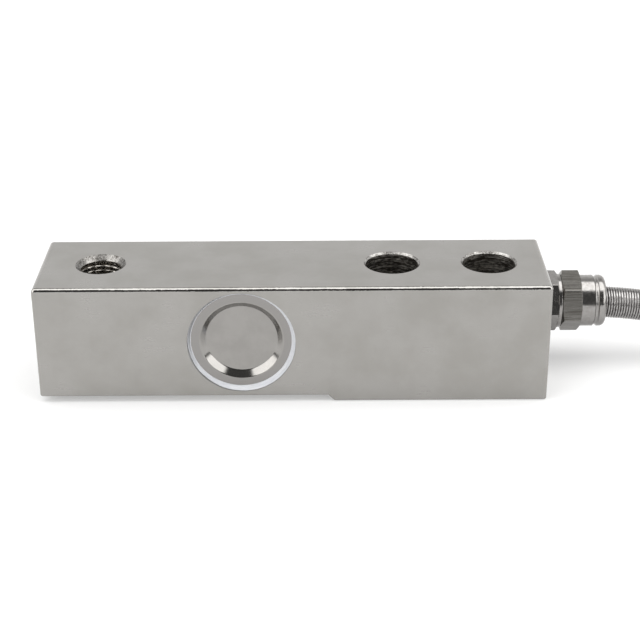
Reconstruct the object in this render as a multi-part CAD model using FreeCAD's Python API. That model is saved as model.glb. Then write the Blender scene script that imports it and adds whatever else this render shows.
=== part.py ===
import FreeCAD, Part
import math
import os

os.makedirs("parts", exist_ok=True)

# Shear beam load cell with a cable gland, a spring strain relief and its cable. All sizes are in millimetres.
# The origin lies midway between the two mounting holes, on the underside of the mounting pad.
# +X points to the cable end, +Y to the rear side and +Z up. The front side is the one at -Y.

Vector = FreeCAD.Vector
AXIS_X = Vector(1, 0, 0)
AXIS_Y = Vector(0, 1, 0)
AXIS_Z = Vector(0, 0, 1)

# Beam
beam_length = 130.0
beam_width = 31.8
beam_height = 31.8
pad_step = 1.6
pad_before_hole = 16.6
edge_radius = 0.6

# Mounting and load holes
load_hole_from_end = 15.5
mount_hole_from_end = 14.5
mount_hole_pitch = 25.0
mount_hole_diameter = 13.5
mount_hole_chamfer = 0.5
load_thread_diameter = 12.0
load_thread_pitch = 1.75
load_countersink_diameter = 13.0

# Gauge pockets
pocket_from_midway = -1.0
cover_seat_diameter = 27.5
cover_seat_ledge = 2.0
cavity_floor_radius = 0.5
web_thickness = 4.0
web_hole_diameter = 2.0
web_hole_across = -8.2
web_hole_drop = 5.6

# Covers and sealant
cover_gap = 0.875
cover_sheet = 0.5
cover_recess = 1.5
cover_rim_width = 2.225
dish_wall_width = 1.7
dish_depth = 1.7
dish_rounding = 0.45
sealant_clearance = 0.05
sealant_top_depth = 0.15
sealant_rim_depth = 1.3

# Wire passage and gland port
gland_offset = 9.0
passage_diameter = 3.5
port_thread_diameter = 10.0
port_depth = 8.0
port_clearance = 0.05

# Strain gauges
carrier_width = 10.0
carrier_height = 7.6
carrier_thickness = 0.1
carrier_corner_radius = 0.6
foil_thickness = 0.05
grid_lines = 8
grid_line_width = 0.24
grid_line_pitch = 0.4
grid_length = 3.0
grid_offset = 2.45
grid_angle = 45.0

# Terminal strip, wiring board and their pads
board_drop = 7.2
strip_width = 12.0
strip_height = 3.0
strip_thickness = 0.4
board_width = 13.0
board_height = 3.6
board_thickness = 0.8
pad_width = 1.5
pad_height = 2.0
pad_thickness = 0.1
pad_pitch = 2.6
pad_count = 4
solder_radius = 0.5
solder_drop = 0.3
resistor_length = 1.0
resistor_width = 0.5
resistor_height = 0.35
resistor_drop = 1.4
gauge_lead_diameter = 0.16
gauge_lead_loop = 0.95
gauge_lead_overlap = 0.5
bridge_wire_diameter = 0.4
bridge_wire_drop = 0.5

# Cable
cable_diameter = 6.0
conductor_diameter = 1.0
conductor_spacing = 1.2
lead_length = 45.0
tinned_length = 7.0
tinned_diameter = 0.7
shield_diameter = 1.3
shield_length = 26.0
shield_lift = 1.6
lead_fan = 3.2
lead_straight_share = 0.15
lead_bend_share = 0.5
lead_bend_lift = 0.6
cable_clearance = 0.1

# Gland. A hexagon's turn is how far its front flat is tilted up from facing -Y, in degrees.
gland_body_turn = 24.6
nut_turn = 12.6
seal_ring_diameter = 13.4
seal_ring_thickness = 1.0
gland_body_across_flats = 14.0
gland_body_face = 5.2
gland_body_corner = 4.5
gland_collar_diameter = 13.4
gland_tube_diameter = 11.0
gland_tube_end = 9.6
gland_shank_length = 7.5
gland_bore_clearance = 0.2
grommet_diameter = 8.8
grommet_start = 6.2
grommet_end = 10.4
slip_washer_diameter = 10.6
slip_washer_thickness = 0.6

# Cap nut
nut_across_flats = 14.3
nut_start = 5.3
nut_hex_start = 6.2
nut_hex_end = 10.5
nut_shoulder_end = 11.0
nut_sleeve_diameter = 13.7
nut_groove_centre = 15.0
nut_groove_width = 1.2
nut_groove_depth = 0.35
nut_end = 17.6
nut_end_rounding = 1.3
nut_thread_clearance = 0.05

# Strain relief spring
spring_diameter = 8.4
spring_wire = 0.65
spring_length = 45.0
spring_flange_diameter = 10.4
spring_flange_thickness = 0.8
spring_clearance = 0.4

# Cable route and its hank, a long oval coil in line with the beam, with the free end lying on top of it.
# The first points are measured from the gland's axis at the beam's end face, the tail's from the hank's near end.
cable_start_in_gland = -2.0
route_after_gland = [
    (18.0, 0.0, 0.0),
    (38.0, -0.1, -3.0),
    (56.0, -0.9, -7.9),
]
coil_from_gland = (126.2, 2.8)
coil_straight_run = 105.0
coil_columns = 2
coil_layers = 4
coil_turn_diameter = 42.0
coil_entry_angle = -110.0
coil_entry_stub = 26.0
coil_run_in = 20.0
coil_corner_radius = 2.4
coil_top_gap = 0.05
climb_start = -6.0
climb_start_sunk = 3.1
climb_end = 14.0
coil_exit_end = 28.0
tail_from_coil_middle = [
    (37.0, 0.0),
    (49.0, -0.6),
    (58.0, -0.4),
]
tie_along = 52.0
tie_width = 4.6
tie_thickness = 0.8
tie_head_length = 6.0
tie_head_height = 3.6
tie_gap = 0.1

# Places worked out from the sizes above
mount_hole_xs = (-mount_hole_pitch / 2, mount_hole_pitch / 2)
cable_end_x = mount_hole_xs[1] + mount_hole_from_end
load_end_x = cable_end_x - beam_length
load_hole_x = load_end_x + load_hole_from_end
pad_start_x = mount_hole_xs[0] - pad_before_hole
pocket_x = (load_hole_x + mount_hole_xs[0]) / 2 + pocket_from_midway
pocket_z = (pad_step + beam_height) / 2
half_width = beam_width / 2
half_web = web_thickness / 2
cover_seat_depth = cover_recess + cover_sheet
gauge_cavity_diameter = cover_seat_diameter - 2 * cover_seat_ledge
cover_diameter = cover_seat_diameter - 2 * cover_gap
dish_mouth_diameter = cover_diameter - 2 * cover_rim_width
dish_floor_diameter = dish_mouth_diameter - 2 * dish_wall_width
cable_radius = cable_diameter / 2
gland_y = gland_offset
gland_z = pocket_z
coil_x = cable_end_x + coil_from_gland[0]
coil_y = gland_y + coil_from_gland[1]
coil_height = cable_diameter * coil_layers
coil_half_bundle = cable_diameter * coil_columns / 2
coil_turn_radius = coil_turn_diameter / 2
coil_rest = coil_height + coil_top_gap
FRONT = -1
REAR = 1


def rotated(shape, angle, axis, centre=Vector(0, 0, 0)):
    """A copy of the shape, turned by the angle in degrees about the axis through the centre."""
    turned = shape.copy()
    turned.rotate(centre, axis, angle)
    return turned


def revolved(points, centre, axis, radial):
    """Solid of revolution: each point is (radius, distance along the axis) from the centre."""
    corners = [centre + radial * radius + axis * along for radius, along in points]
    face = Part.Face(Part.makePolygon(corners + corners[:1]))
    return face.revolve(centre, axis, 360)


def cylinder(radius, start, end):
    """Cylinder between two points."""
    along = end - start
    return Part.makeCylinder(radius, along.Length, start, along)


def centred_box(width, depth, height, centre):
    """Box with its sides along the axes and its middle at the centre."""
    corner = centre - Vector(width / 2, depth / 2, height / 2)
    return Part.makeBox(width, depth, height, corner)


def fillet_circles(solid, radius, circle_radius, tolerance=0.01):
    """Round the circular edges that have the given radius."""
    edges = [
        edge
        for edge in solid.Edges
        if isinstance(edge.Curve, Part.Circle) and abs(edge.Curve.Radius - circle_radius) < tolerance
    ]
    return solid.makeFillet(radius, edges)


def rounded_route(points):
    """Wire of straight runs joined by tangent arcs, and the arcs' radii."""
    arc_share = 0.45
    edges = []
    radii = []
    last = points[0]
    for before, corner, after in zip(points, points[1:], points[2:]):
        arrive = (corner - before).normalize()
        leave = (after - corner).normalize()
        half_turn = arrive.getAngle(leave) / 2
        cut = arc_share * min(corner.distanceToPoint(before), corner.distanceToPoint(after))
        radius = cut / math.tan(half_turn)
        inward = (leave - arrive).normalize()
        start = corner - arrive * cut
        middle = corner + inward * (math.hypot(radius, cut) - radius)
        end = corner + leave * cut
        edges.append(Part.LineSegment(last, start).toShape())
        edges.append(Part.Arc(start, middle, end).toShape())
        radii.append(radius)
        last = end
    edges.append(Part.LineSegment(last, points[-1]).toShape())
    return Part.Wire(edges), radii


def swept_round(points, radius):
    """Round bar along a rounded route."""
    if len(points) > 2:
        path, _ = rounded_route(points)
    else:
        path = Part.Wire([Part.LineSegment(points[0], points[1]).toShape()])
    direction = (points[1] - points[0]).normalize()
    section = Part.Wire([Part.Circle(points[0], direction, radius).toShape()])
    return path.makePipeShell([section], True, False)


def hex_prism(across_flats, turn, start, end):
    """Hexagonal bar along the gland's axis, with its front flat tilted up by the turn in degrees."""
    corner_radius = across_flats / math.sqrt(3)
    corners = []
    for index in range(6):
        angle = math.radians(60 * index + 30 - turn)
        corners.append(gland_point(start, math.cos(angle) * corner_radius, math.sin(angle) * corner_radius))
    face = Part.Face(Part.makePolygon(corners + corners[:1]))
    return face.extrude(AXIS_X * (end - start))


def gland_point(along, across=0.0, up=0.0):
    """Point at a distance past the beam's end face, offset across (+Y) and up from the gland's axis."""
    return Vector(cable_end_x + along, gland_y + across, gland_z + up)


def gland_revolved(points):
    """Turned piece about the gland's axis: each point is (radius, distance past the end face)."""
    return revolved(points, gland_point(0), AXIS_X, AXIS_Z)


def beam_blank():
    """The bar with its stepped underside and broken edges."""
    outline = [
        (load_end_x, pad_step),
        (pad_start_x, pad_step),
        (pad_start_x + pad_step, 0),
        (cable_end_x, 0),
        (cable_end_x, beam_height),
        (load_end_x, beam_height),
    ]
    corners = [Vector(x, -half_width, z) for x, z in outline]
    bar = Part.Face(Part.makePolygon(corners + corners[:1])).extrude(AXIS_Y * beam_width)
    return bar.makeFillet(edge_radius, [edge for edge in bar.Edges if not is_step_edge(edge)])


def is_step_edge(edge):
    """Whether the edge is one of the two cross edges of the underside's slope."""
    ends = [vertex.Point for vertex in edge.Vertexes]
    across = abs(ends[0].y - ends[1].y) > half_width
    nearest = min(abs(ends[0].x - pad_start_x), abs(ends[0].x - pad_start_x - pad_step))
    return across and nearest < edge_radius / 2


def chamfered_hole(x, radius, mouth_radius, bottom):
    """Vertical through hole with a 45 degree chamfer at each mouth."""
    sink = mouth_radius - radius
    over = edge_radius
    points = [
        (0, bottom - over),
        (mouth_radius + over, bottom - over),
        (radius, bottom + sink),
        (radius, beam_height - sink),
        (mouth_radius + over, beam_height + over),
        (0, beam_height + over),
    ]
    return revolved(points, Vector(x, 0, 0), AXIS_Z, AXIS_X)


def gauge_pocket(side):
    """Stepped round pocket: the cover's seat, then the gauge cavity down to the web."""
    mouth = Vector(pocket_x, side * half_width, pocket_z)
    seat = cylinder(cover_seat_diameter / 2, mouth + AXIS_Y * side, mouth - AXIS_Y * side * cover_seat_depth)
    floor = Vector(pocket_x, side * half_web, pocket_z)
    cavity = cylinder(gauge_cavity_diameter / 2, mouth, floor)
    floor_edges = [edge for edge in cavity.Edges if abs(edge.CenterOfMass.y - floor.y) < cavity_floor_radius]
    return seat.fuse(cavity.makeFillet(cavity_floor_radius, floor_edges))


def web_hole():
    """Small hole through the web for the bridge wires."""
    centre = Vector(pocket_x + web_hole_across, 0, pocket_z - web_hole_drop)
    return cylinder(web_hole_diameter / 2, centre - AXIS_Y * web_thickness, centre + AXIS_Y * web_thickness)


def beam_body():
    """The measuring body, machined from one bar."""
    body = beam_blank()
    cuts = [gauge_pocket(FRONT), gauge_pocket(REAR), web_hole()]
    for x in mount_hole_xs:
        radius = mount_hole_diameter / 2
        cuts.append(chamfered_hole(x, radius, radius + mount_hole_chamfer, 0))
    tap_radius = (load_thread_diameter - load_thread_pitch) / 2
    cuts.append(chamfered_hole(load_hole_x, tap_radius, load_countersink_diameter / 2, pad_step))
    cuts.append(cylinder(passage_diameter / 2, Vector(pocket_x, gland_y, gland_z), gland_point(1)))
    cuts.append(cylinder(port_thread_diameter / 2 + port_clearance, gland_point(-port_depth), gland_point(1)))
    return body.cut(cuts)


def cover(side):
    """Dished cover: a flat rim, a sloping pressed wall and a flat floor."""
    rim = cover_diameter / 2
    mouth = dish_mouth_diameter / 2
    floor = dish_floor_diameter / 2
    floor_depth = cover_recess + dish_depth
    wall_angle = math.atan2(dish_depth, mouth - floor)
    back_shift = cover_sheet * math.tan(wall_angle / 2)
    points = [
        (0, floor_depth),
        (floor, floor_depth),
        (mouth, cover_recess),
        (rim, cover_recess),
        (rim, cover_recess + cover_sheet),
        (mouth + back_shift, cover_recess + cover_sheet),
        (floor + back_shift, floor_depth + cover_sheet),
        (0, floor_depth + cover_sheet),
    ]
    sheet = revolved(points, Vector(pocket_x, side * half_width, pocket_z), AXIS_Y * -side, AXIS_X)
    for corner_radius in (mouth, floor, mouth + back_shift, floor + back_shift):
        sheet = fillet_circles(sheet, dish_rounding, corner_radius)
    return sheet


def sealant(side):
    """Ring of sealant that slopes from the pocket wall down to the cover's rim."""
    inner = cover_diameter / 2 + sealant_clearance
    outer = cover_seat_diameter / 2 - sealant_clearance
    points = [
        (inner, cover_seat_depth),
        (outer, cover_seat_depth),
        (outer, sealant_top_depth),
        (inner, sealant_rim_depth),
    ]
    return revolved(points, Vector(pocket_x, side * half_width, pocket_z), AXIS_Y * -side, AXIS_X)


def web_plate(side, width, height, thickness, lift=0.0, across=0.0, up=0.0):
    """Flat plate on the web's face, lifted off it by what lies under the plate."""
    centre = Vector(pocket_x + across, side * (half_web + lift + thickness / 2), pocket_z + up)
    return centred_box(width, thickness, height, centre)


def gauge_carrier(side):
    """Backing film of the strain gauge, bonded to the web."""
    film = web_plate(side, carrier_width, carrier_height, carrier_thickness)
    corners = [edge for edge in film.Edges if abs(edge.tangentAt(edge.FirstParameter).y) > 0.5]
    return film.makeFillet(carrier_corner_radius, corners)


def gauge_grid(side, across, angle):
    """One etched grid: parallel lines joined at alternate ends, with a solder tab at each end."""
    first = -grid_line_pitch * (grid_lines - 1) / 2
    thin = dict(thickness=foil_thickness, lift=carrier_thickness)
    strips = []
    for index in range(grid_lines):
        place = first + index * grid_line_pitch
        strips.append(web_plate(side, grid_line_width, grid_length, across=place, **thin))
    loop_width = grid_line_pitch + grid_line_width
    for index in range(grid_lines - 1):
        place = first + (index + 0.5) * grid_line_pitch
        end = grid_length / 2 if index % 2 else -grid_length / 2
        strips.append(web_plate(side, loop_width, grid_line_width, across=place, up=end, **thin))
    tab = 2 * grid_line_width
    for place in (first, -first):
        strips.append(web_plate(side, tab, tab, across=place, up=(grid_length + grid_line_width) / 2, **thin))
    grid = strips[0].multiFuse(strips[1:]).removeSplitter()
    grid = rotated(grid, angle, AXIS_Y, Vector(pocket_x, 0, pocket_z))
    grid.translate(AXIS_X * across)
    return grid


def gauge_foil(side):
    """The gauge's two grids, set crosswise to each other."""
    grids = [gauge_grid(side, -grid_offset, grid_angle), gauge_grid(side, grid_offset, -grid_angle)]
    return Part.makeCompound(grids)


def pad_places():
    """Distances of the pads from the pocket's axis, along X."""
    first = -pad_pitch * (pad_count - 1) / 2
    return [first + index * pad_pitch for index in range(pad_count)]


def terminal_pads(side, lift):
    """Row of copper pads on the strip or the board."""
    pads = []
    for place in pad_places():
        pads.append(web_plate(side, pad_width, pad_height, pad_thickness, lift, place, -board_drop))
    return Part.makeCompound(pads)


def solder_joints(side, lift):
    """One small dome of solder on each pad, with the conductor's end in it."""
    joints = []
    for place in pad_places():
        centre = Vector(pocket_x + place, side * (half_web + lift), pocket_z - board_drop - solder_drop)
        joints.append(Part.makeSphere(solder_radius, centre, AXIS_Y * side, 0, 90, 360))
    return Part.makeCompound(joints)


def trim_resistors(lift):
    """Two small chip resistors between the pads of the rear board."""
    places = pad_places()
    chips = []
    for place in ((places[0] + places[1]) / 2, (places[2] + places[3]) / 2):
        up = -board_drop - resistor_drop
        chips.append(web_plate(REAR, resistor_length, resistor_width, resistor_height, lift, place, up))
    return Part.makeCompound(chips)


def gauge_leads(side, pad_lift):
    """Fine wires from the grids down to the pads."""
    radius = gauge_lead_diameter / 2
    start_lift = half_web + carrier_thickness + foil_thickness + radius
    end_lift = half_web + pad_lift + pad_thickness + radius
    hop = end_lift + gauge_lead_loop
    wires = []
    for place in pad_places():
        top = -carrier_height / 2 + gauge_lead_overlap
        bottom = -board_drop + pad_height / 2 - gauge_lead_diameter
        points = [
            Vector(pocket_x + place, side * start_lift, pocket_z + top),
            Vector(pocket_x + place, side * hop, pocket_z + (top + bottom) / 2),
            Vector(pocket_x + place, side * end_lift, pocket_z + bottom),
        ]
        wires.append(swept_round(points, radius))
    return Part.makeCompound(wires)


def bridge_wires(front_lift, rear_lift):
    """Wires that join the front terminal strip to the rear board through the web."""
    radius = bridge_wire_diameter / 2
    front_pad = half_web + front_lift + pad_thickness + radius
    rear_pad = half_web + rear_lift + pad_thickness + radius
    reach = half_web + web_hole_diameter
    wires = []
    for place, shift in zip(pad_places()[:2], (-bridge_wire_diameter, bridge_wire_diameter)):
        hole_x = pocket_x + web_hole_across
        hole_z = pocket_z - web_hole_drop + shift
        end_z = pocket_z - board_drop - bridge_wire_drop + shift / 2
        edge_x = pocket_x + place - pad_width / 2
        points = [
            Vector(edge_x, -front_pad, end_z),
            Vector(hole_x, -reach, hole_z),
            Vector(hole_x, reach, hole_z),
            Vector(edge_x, rear_pad, end_z),
        ]
        wires.append(swept_round(points, radius))
    return Part.makeCompound(wires)


def conductor(index, rear_lift):
    """One insulated conductor from the cable's end through the passage to its pad on the rear board."""
    half = conductor_spacing / 2
    across = (-half, half, -half, half)[index]
    up = (-half, -half, half, half)[index]
    pad_x = pocket_x + pad_places()[pad_count - 1 - index]
    pad_y = half_web + rear_lift + pad_thickness + solder_radius + conductor_diameter / 2
    points = [
        gland_point(cable_start_in_gland, across, up),
        Vector(pad_x, gland_y + across, gland_z + up),
        Vector(pad_x, pad_y, gland_z - board_drop - solder_drop),
    ]
    return swept_round(points, conductor_diameter / 2)


def seal_ring():
    """Flat sealing ring under the gland's hexagon."""
    outer = seal_ring_diameter / 2
    inner = port_thread_diameter / 2 + port_clearance
    return gland_revolved([(inner, 0), (outer, 0), (outer, seal_ring_thickness), (inner, seal_ring_thickness)])


def gland_body():
    """Threaded shank, hexagon and the tube that takes the grommet and the cap nut."""
    hexagon = hex_prism(gland_body_across_flats, gland_body_turn, seal_ring_thickness, gland_body_face)
    corner = gland_body_across_flats / math.sqrt(3)
    collar = gland_collar_diameter / 2
    turned = gland_revolved([
        (0, seal_ring_thickness),
        (corner, seal_ring_thickness),
        (corner, gland_body_corner),
        (collar, gland_body_face),
        (0, gland_body_face),
    ])
    shank = port_thread_diameter / 2 - port_clearance
    tube = gland_tube_diameter / 2
    stem = gland_revolved([(0, -gland_shank_length), (shank, -gland_shank_length), (shank, gland_body_face),
                           (tube, gland_body_face), (tube, gland_tube_end), (0, gland_tube_end)])
    bore = cable_radius + gland_bore_clearance
    seat = grommet_diameter / 2 + gland_bore_clearance
    hollow = gland_revolved([
        (0, -gland_shank_length - 1),
        (bore, -gland_shank_length - 1),
        (bore, grommet_start - (seat - bore)),
        (seat, grommet_start),
        (seat, gland_tube_end + 1),
        (0, gland_tube_end + 1),
    ])
    return hexagon.common(turned).fuse(stem).removeSplitter().cut(hollow)


def grommet():
    """Rubber bush that the cap nut squeezes onto the cable."""
    inner = cable_radius + cable_clearance
    outer = grommet_diameter / 2
    nose = outer - inner
    return gland_revolved([
        (inner, grommet_start + nose / 2),
        (inner + nose / 2, grommet_start + nose / 2),
        (outer, grommet_start + nose),
        (outer, grommet_end),
        (inner, grommet_end),
    ])


def slip_washer():
    """Thin washer that lets the cap nut turn on the grommet without twisting it."""
    inner = cable_radius + gland_bore_clearance
    outer = slip_washer_diameter / 2
    end = grommet_end + slip_washer_thickness
    return gland_revolved([(inner, grommet_end), (outer, grommet_end), (outer, end), (inner, end)])


def cap_nut():
    """Hexagon, polished sleeve, groove and rounded bead, turned from one bar."""
    corner = nut_across_flats / math.sqrt(3)
    collar = gland_collar_diameter / 2
    sleeve = nut_sleeve_diameter / 2
    blank = gland_revolved([(0, nut_start), (collar, nut_start), (corner, nut_hex_start), (corner, nut_hex_end),
                            (sleeve, nut_shoulder_end), (0, nut_shoulder_end)])
    hexagon = hex_prism(nut_across_flats, nut_turn, nut_start, nut_shoulder_end)
    barrel = gland_revolved([(0, nut_shoulder_end), (sleeve, nut_shoulder_end), (sleeve, nut_end), (0, nut_end)])
    barrel = barrel.makeFillet(nut_end_rounding, [edge for edge in barrel.Edges if is_barrel_rim(edge, sleeve)])
    half_groove = nut_groove_width / 2
    arc_radius = (half_groove ** 2 + nut_groove_depth ** 2) / (2 * nut_groove_depth)
    groove = Part.makeTorus(
        sleeve - nut_groove_depth + arc_radius, arc_radius, gland_point(nut_groove_centre), AXIS_X,
    )
    thread = gland_tube_diameter / 2 + nut_thread_clearance
    spring_seat = spring_seat_end()
    mouth = spring_diameter / 2 + spring_clearance
    hollow = gland_revolved([(0, nut_start - 1), (thread, nut_start - 1), (thread, spring_seat),
                             (mouth, spring_seat), (mouth, nut_end + 1), (0, nut_end + 1)])
    return blank.common(hexagon).fuse(barrel).removeSplitter().cut(groove).cut(hollow)


def is_barrel_rim(edge, radius):
    """Whether the edge is the outer rim of the nut's cable side."""
    at_end = abs(edge.CenterOfMass.x - gland_point(nut_end).x) < nut_end_rounding / 2
    return at_end and isinstance(edge.Curve, Part.Circle) and abs(edge.Curve.Radius - radius) < nut_end_rounding / 2


def spring_start():
    """Where the spring's end turns rest on the slip washer."""
    return grommet_end + slip_washer_thickness


def spring_seat_end():
    """Depth of the nut's shoulder that holds the spring's wide end turn."""
    return spring_start() + spring_flange_thickness + spring_clearance


def cable_route():
    """Cable's line from its stripped end in the gland's shank to the hank."""
    stub_end = coil_entry()[0]
    run_in = stub_end - coil_heading(coil_entry_angle) * coil_run_in
    places = [gland_point(*place) for place in route_after_gland]
    return [gland_point(cable_start_in_gland)] + places + [run_in, stub_end]


def route_part(points, start, length):
    """The stretch of a rounded route that begins and ends at the given distances along it."""
    path, _ = rounded_route(points)
    edges = []
    gone = 0.0
    for edge in path.OrderedEdges:
        low = max(start - gone, 0.0)
        high = min(start + length - gone, edge.Length)
        if high > low:
            first = edge.getParameterByLength(low)
            last = edge.getParameterByLength(high)
            edges.append(Part.Edge(edge.Curve, first, last))
        gone += edge.Length
    return Part.Wire(edges)


def strain_relief_spring():
    """Close-wound spring as a sleeve of its outer and inner diameter, with the wide end turn in the nut."""
    outer = spring_diameter / 2
    length = nut_end - spring_start() + spring_length
    body = spring_rod(outer, -spring_wire / 2, length)
    flange = cylinder(spring_flange_diameter / 2, gland_point(spring_start()),
                      gland_point(spring_start() + spring_flange_thickness))
    return body.fuse(flange).removeSplitter().cut(spring_rod(outer - spring_wire, spring_wire, length))


def spring_rod(radius, over, length):
    """Round bar along the spring's line, reaching past both of its ends by the given amount."""
    inside = spring_start() - cable_start_in_gland
    path = route_part(cable_route(), inside - over, length + 2 * over)
    begin = path.OrderedVertexes[0].Point
    section = Part.Wire([Part.Circle(begin, path.OrderedEdges[0].tangentAt(0), radius).toShape()])
    return path.makePipeShell([section], True, False)


def coil_heading(angle):
    """Direction in which the cable runs at an angle of the hank's near half turn, anticlockwise seen from above."""
    turn = math.radians(angle)
    return Vector(-math.sin(turn), math.cos(turn), 0)


def coil_entry():
    """Straight stub by which the cable comes to the hank: its free end and where it joins the outermost turn."""
    turn = math.radians(coil_entry_angle)
    radius = coil_turn_radius + coil_half_bundle - cable_radius
    joins = Vector(coil_x + radius * math.cos(turn), coil_y + radius * math.sin(turn), cable_radius)
    return joins - coil_heading(coil_entry_angle) * coil_entry_stub, joins


def coil_exit():
    """Line by which the cable climbs out of the top layer and comes to lie on it."""
    y = coil_y - coil_turn_radius
    lying = coil_rest + cable_radius
    return [
        Vector(coil_x + climb_start, y, coil_height - climb_start_sunk),
        Vector(coil_x + climb_end, y, lying),
        Vector(coil_x + coil_exit_end, y, lying),
    ]


def coil_outline(radius):
    """Oval face with two straight sides and two half turns of the given radius."""
    near = Vector(coil_x, coil_y, 0)
    far = near + AXIS_X * coil_straight_run
    across = AXIS_Y * radius
    along = AXIS_X * radius
    return Part.Face(Part.Wire([
        Part.LineSegment(near - across, far - across).toShape(),
        Part.Arc(far - across, far + along, far + across).toShape(),
        Part.LineSegment(far + across, near + across).toShape(),
        Part.Arc(near + across, near - along, near - across).toShape(),
    ]))


def cable_coil():
    """Outer shape of the hank, with the two stubs by which the cable comes and goes."""
    outer = coil_outline(coil_turn_radius + coil_half_bundle)
    inner = coil_outline(coil_turn_radius - coil_half_bundle)
    ring = outer.cut(inner).extrude(AXIS_Z * coil_height)
    rims = [edge for edge in ring.Edges if abs(edge.Vertexes[0].Z - edge.Vertexes[-1].Z) < coil_corner_radius]
    ring = ring.makeFillet(coil_corner_radius, rims)
    stub_end, joins = coil_entry()
    entry = cylinder(cable_radius, stub_end, joins)
    leaving = swept_round(coil_exit(), cable_radius)
    return ring.fuse([entry, leaving]).removeSplitter().cut(tie_channel())


def tie_band(gap, thickness, width):
    """Rectangular band about the bundle of the hank's rear run."""
    half_bundle = coil_half_bundle - gap
    height = coil_height - 2 * gap
    centre = Vector(coil_x + tie_along, coil_y + coil_turn_radius, coil_height / 2)
    outer = centred_box(width, 2 * (half_bundle + thickness), height + 2 * thickness, centre)
    inner = centred_box(width * 2, 2 * half_bundle, height, centre)
    return outer.cut(inner)


def tie_channel():
    """Hollow that the tightened tie presses into the bundle."""
    sunk = tie_thickness + 2 * tie_gap
    return tie_band(sunk, 2 * sunk, tie_width + 2 * tie_gap)


def coil_tie():
    """Narrow band drawn tight round the bundle, with its locking head on top."""
    band = tie_band(tie_thickness + tie_gap, tie_thickness, tie_width)
    middle = coil_height - tie_gap + tie_head_height / 2
    centre = Vector(coil_x + tie_along, coil_y + coil_turn_radius, middle)
    head = centred_box(tie_width, tie_head_length, tie_head_height, centre)
    return band.fuse(head).removeSplitter()


def tail_route():
    """Cable's line on top of the hank, from its climb to its stripped end."""
    start = coil_exit()[-1]
    places = [Vector(coil_x + x, start.y + y, start.z) for x, y in tail_from_coil_middle]
    return [start] + places


def cable_end():
    """Cable's stripped end: its centre, its direction, and the directions to its side and up."""
    before, end = tail_route()[-2:]
    leaving = (end - before).normalize()
    side = AXIS_Z.cross(leaving).normalize()
    return end, leaving, side, leaving.cross(side)


def stripped_lead(index):
    """Insulated lead with a short tinned end: straight out of the cable, then down to the hank and apart."""
    radius = conductor_diameter / 2
    place = index - (pad_count - 1) / 2
    end, leaving, side, _ = cable_end()
    start = end + side * place * conductor_spacing
    straight = start + leaving * lead_length * lead_straight_share
    middle = start + leaving * lead_length * lead_bend_share + side * place * lead_fan / 2
    middle.z = coil_rest + radius + lead_bend_lift
    tip = start + leaving * lead_length + side * place * lead_fan
    tip.z = coil_rest + radius
    route = [start, straight, middle, tip]
    last = (route[3] - route[2]).normalize()
    sleeve_end = route[3] - last * tinned_length
    sleeve = swept_round(route[:3] + [sleeve_end], radius)
    return sleeve.fuse(cylinder(tinned_diameter / 2, sleeve_end, route[3]))


def shield_pigtail():
    """Cable's braided shield, twisted together above the leads."""
    end, leaving, _, up = cable_end()
    start = end + up * shield_lift
    straight = start + leaving * shield_length * lead_straight_share
    middle = start + leaving * shield_length * lead_bend_share
    middle.z = end.z + conductor_diameter
    tip = start + leaving * shield_length
    tip.z = coil_rest + conductor_diameter + shield_diameter
    return swept_round([start, straight, middle, tip], shield_diameter / 2)


def export(name, shape):
    """Write one piece and print its volume."""
    shape.exportStep(f"parts/{name}.step")
    print(f"{name}: {len(shape.Solids)} solid(s), {shape.Volume:.2f} mm3, valid {shape.isValid()}")


def report_route(name, points):
    """Print a route's radii and its tube's volume beside section times length."""
    path, radii = rounded_route(points)
    tube = swept_round(points, cable_radius)
    section = math.pi * cable_radius ** 2
    print(f"{name}: length {path.Length:.1f}, radii {[round(radius, 1) for radius in radii]}, "
          f"tube {tube.Volume:.1f}, section times length {section * path.Length:.1f}")


def main():
    """Build and write every piece."""
    pieces = {"beam_body": beam_body()}
    for side, name in ((FRONT, "front"), (REAR, "rear")):
        pieces[f"{name}_cover"] = cover(side)
        pieces[f"{name}_sealant"] = sealant(side)
        pieces[f"{name}_gauge_carrier"] = gauge_carrier(side)
        pieces[f"{name}_gauge_foil"] = gauge_foil(side)
    pieces["front_terminal_strip"] = web_plate(FRONT, strip_width, strip_height, strip_thickness, up=-board_drop)
    pieces["front_terminal_pads"] = terminal_pads(FRONT, strip_thickness)
    pieces["front_gauge_leads"] = gauge_leads(FRONT, strip_thickness)
    pieces["rear_wiring_board"] = web_plate(REAR, board_width, board_height, board_thickness, up=-board_drop)
    pieces["rear_board_pads"] = terminal_pads(REAR, board_thickness)
    pieces["rear_solder_joints"] = solder_joints(REAR, board_thickness + pad_thickness)
    pieces["rear_trim_resistors"] = trim_resistors(board_thickness)
    pieces["rear_gauge_leads"] = gauge_leads(REAR, board_thickness)
    pieces["bridge_wires"] = bridge_wires(strip_thickness, board_thickness)
    for index, colour in enumerate(("red", "black", "green", "white")):
        pieces[f"conductor_{colour}"] = conductor(index, board_thickness)
        pieces[f"lead_{colour}"] = stripped_lead(index)
    pieces["gland_seal_ring"] = seal_ring()
    pieces["gland_body"] = gland_body()
    pieces["gland_grommet"] = grommet()
    pieces["gland_slip_washer"] = slip_washer()
    pieces["gland_cap_nut"] = cap_nut()
    pieces["strain_relief_spring"] = strain_relief_spring()
    pieces["cable_jacket"] = swept_round(cable_route(), cable_radius)
    pieces["cable_coil"] = cable_coil()
    pieces["cable_tail"] = swept_round(tail_route(), cable_radius)
    pieces["coil_tie"] = coil_tie()
    pieces["shield_pigtail"] = shield_pigtail()
    report_route("cable route", cable_route())
    report_route("tail route", tail_route())
    for name, shape in pieces.items():
        export(name, shape)


main()
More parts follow.
